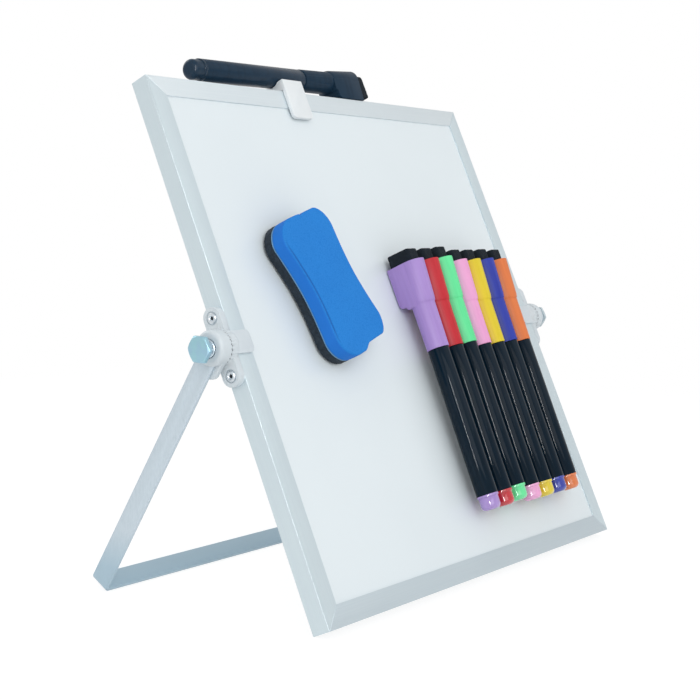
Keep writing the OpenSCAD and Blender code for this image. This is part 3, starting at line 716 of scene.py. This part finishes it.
def roughen(piece, deep, middle):
    # felt's uneven surface, deep in millimetres
    modify(piece, "DISPLACE", texture=fuzz, strength=deep / 1000, mid_level=middle, texture_coords="LOCAL")
    smooth(piece, 80)


for pen in pens:
    for kind, paint in penPaints[pen].items():
        plainPiece(pen + "_" + kind.lower(), pen + kind, paint, marker[kind])
    felt = takeCopy(pen + "_felt", pen + "Felt")
    roundEdges(felt, marker["feltRound"], 3)
    modify(felt, "REMESH", mode="VOXEL", voxel_size=marker["feltVoxel"] / 1000)
    roughen(felt, marker["feltFuzz"], marker["feltMiddle"])
    dress(felt, capFeltPaint, bodyOf[pen + "_felt"], slotOf[pen + "_felt"], pen + "_felt")
print("markers are dressed")

# clip and eraser

clip = {"round": 0.4}
plainPiece("pen_clip", "penClip", clipPaint, clip["round"], 3)

# the eraser's own frame has Y along it and Z out of the board; pairs give where a change begins and ends
eraser = {
    "place": (-60.3, 21.7), "turn": 16, "halfWide": 20.5, "halfLong": 35.5, "waist": 0.035, "waistLong": 14,
    "foamVoxel": 0.45, "rimRound": 0.8, "rimAbove": 12, "crown": 0.35, "crownFrom": (8, 13), "topFrom": (12.2, 12.7),
    "sideTo": (12.2, 12.6), "sideIn": (1.5, 2), "creaseIn": 0.95, "creaseHalf": 0.36, "creaseDeep": 0.3,
    "creaseEnds": (19, 28), "feltVoxel": 0.55, "feltRound": 0.5, "feltRims": (1, 5), "feltFuzz": 0.45,
    "feltMiddle": 0.6, "magnetOut": 0.85,
}
# its ends: the middle and radius of its round corners, the fillets (middle, radius, level of the end) beside the
# steps, how the lower step leans and moves, and the upper end's trim and dip
ends = {
    "cornerAt": (8.5, 23.5), "cornerRound": 12, "fillets": (((14.42, -29.6), 3.5, -33.1), ((12.71, 30.3), 4.0, 34.3)),
    "stepAt": 0.8, "stepNear": 7, "stepMiddle": 34.3, "stepHalf": 1.2, "stepLean": 1.5, "stepShift": 1.8,
    "stepFrom": (-33.4, -30.4), "trim": 0.9, "trimFrom": (24, 33), "trimTo": (-0.8, 1.8),
    "dip": 0.75, "dipAt": 1.4, "dipHalf": 1.8,
}
onEraser = onFace @ Matrix.Translation((*eraser["place"], 0)) @ Matrix.Rotation(math.radians(eraser["turn"]), 4, "Z")


def between(values, low, high):
    # 0 up to low, 1 from high and a straight line in the middle
    return np.clip((values - low) / (high - low), 0, 1)


def ease(values):
    return values * values * (3 - 2 * values)


def roundCorner(spots, centre, radius, level):
    # pulls the corner between an end and a round corner in to a fillet's circle
    away = spots[:, :2] - centre
    length = np.maximum(np.hypot(away[:, 0], away[:, 1]), 1e-6)
    way = away / length[:, None]
    outward = way[:, 1] * level > 0.01 * abs(level)
    toEnd = (level - centre[1]) / np.where(outward, way[:, 1], np.nan)
    fromRound = np.array(centre) - (ends["cornerAt"][0], math.copysign(ends["cornerAt"][1], level))
    along = way @ fromRound
    toRound = -along + np.sqrt(along ** 2 + ends["cornerRound"] ** 2 - fromRound @ fromRound)
    limit = np.fmin(toEnd, toRound)
    steep = way[:, 0] / fromRound[0] < 1.02 * abs(way[:, 1] / fromRound[1])
    inside = (way[:, 0] > 0) & (way[:, 1] * level > 0) & steep & (length < limit * 1.15)
    spots[inside, :2] = np.array(centre) + away[inside] * (radius / limit[inside])[:, None]


def shapeEnds(spots):
    for fillet in ends["fillets"]:
        roundCorner(spots, *fillet)
    # leans the lower step over
    low = 1 - between(spots[:, 1], *ends["stepFrom"])
    near = ease(1 - between(abs(spots[:, 0] - ends["stepAt"]), 0, ends["stepNear"]))
    offStep = np.clip(spots[:, 1] + ends["stepMiddle"], -ends["stepHalf"], ends["stepHalf"])
    spots[:, 0] += (ends["stepLean"] * offStep - ends["stepShift"]) * low * near
    # draws the waist in a little more
    spots[:, 0] *= 1 - eraser["waist"] * np.exp(-(spots[:, 1] / eraser["waistLong"]) ** 2)
    # the upper end's left half is level with its right half, with a dip between them
    left = 1 - between(spots[:, 0], *ends["trimTo"])
    dip = np.exp(-((spots[:, 0] - ends["dipAt"]) / ends["dipHalf"]) ** 2)
    spots[:, 1] -= ease(between(spots[:, 1], *ends["trimFrom"])) * (ends["trim"] * left + ends["dip"] * dip)
    return spots


def mark(piece, name, values):
    layer = piece.data.attributes.new(name, "FLOAT", "POINT")
    layer.data.foreach_set("value", np.ascontiguousarray(values, dtype=np.float32))


def outlineOf(piece):
    # close points round the top's outline
    rim = points(piece, onEraser)
    rim = shapeEnds(rim[rim[:, 2] > eraser["rimAbove"]])
    rim = rim[np.argsort(np.arctan2(rim[:, 1], rim[:, 0]))][:, :2]
    steps = np.linspace(0, 1, 6, endpoint=False)[:, None]
    return np.concatenate([a + (b - a) * steps for a, b in zip(rim, np.roll(rim, -1, axis=0))])


def distanceTo(rim, spots):
    # in parts, to spare memory
    inward = np.full(len(spots), 99.0)
    for part in np.array_split(rim, 12):
        gap = spots[:, None, :2] - part[None]
        inward = np.minimum(inward, np.sqrt((gap ** 2).sum(axis=2).min(axis=1)))
    return inward


foam = takeCopy("eraser_foam", "eraserFoam")
rim = outlineOf(foam)
roundEdges(foam, eraser["rimRound"], 3, lambda p: p.z > eraser["rimAbove"], onEraser)
modify(foam, "REMESH", mode="VOXEL", voxel_size=eraser["foamVoxel"] / 1000)
modify(foam, "SMOOTH", factor=0.5, iterations=3)
spots = shapeEnds(points(foam, onEraser))
inward = distanceTo(rim, spots)
fade = 1 - between(abs(spots[:, 1]), *eraser["creaseEnds"])
onTop = between(spots[:, 2], *eraser["topFrom"]) * (spots[:, 0] < 0)
groove = np.exp(-((inward - eraser["creaseIn"]) / eraser["creaseHalf"]) ** 2) * onTop * fade
outward = np.maximum((spots[:, 0] / eraser["halfWide"]) ** 2, (spots[:, 1] / eraser["halfLong"]) ** 2)
spots[:, 2] -= between(spots[:, 2], *eraser["crownFrom"]) * eraser["crown"] * outward
spots[:, 2] -= eraser["creaseDeep"] * groove
# painted shade: marks the side walls, which are painted a deeper blue
mark(foam, "side", (1 - between(spots[:, 2], *eraser["sideTo"])) * (1 - between(inward, *eraser["sideIn"])))
# painted shade: marks the crease, which is painted dark
mark(foam, "creaseShade", groove)
movePoints(foam, onEraser, spots)
smooth(foam, 60)
dress(foam, foamPaint, "eraser", "eraser_foam", "eraser_foam")

pad = takeCopy("eraser_felt", "eraserFelt")
feltRims = eraser["feltRims"]
roundEdges(pad, eraser["feltRound"], 3, lambda p: p.z < feltRims[0] or p.z > feltRims[1], onEraser)
modify(pad, "REMESH", mode="VOXEL", voxel_size=eraser["feltVoxel"] / 1000)
modify(pad, "SMOOTH", factor=0.5, iterations=2)
movePoints(pad, onEraser, shapeEnds(points(pad, onEraser)))
roughen(pad, eraser["feltFuzz"], eraser["feltMiddle"])
dress(pad, eraserFeltPaint, "eraser", "eraser_felt", "eraser_felt")

# the glued sheet between them reaches almost to their edges
sheet = takeCopy("eraser_magnet", "eraserMagnet")
spots = points(sheet, onEraser)
spots[:, :2] *= (1 + eraser["magnetOut"] / eraser["halfWide"], 1 + eraser["magnetOut"] / eraser["halfLong"])
movePoints(sheet, onEraser, shapeEnds(spots))
smooth(sheet)
dress(sheet, magnetPaint, "eraser", "eraser_magnet", "eraser_magnet")
print("clip and eraser are dressed")
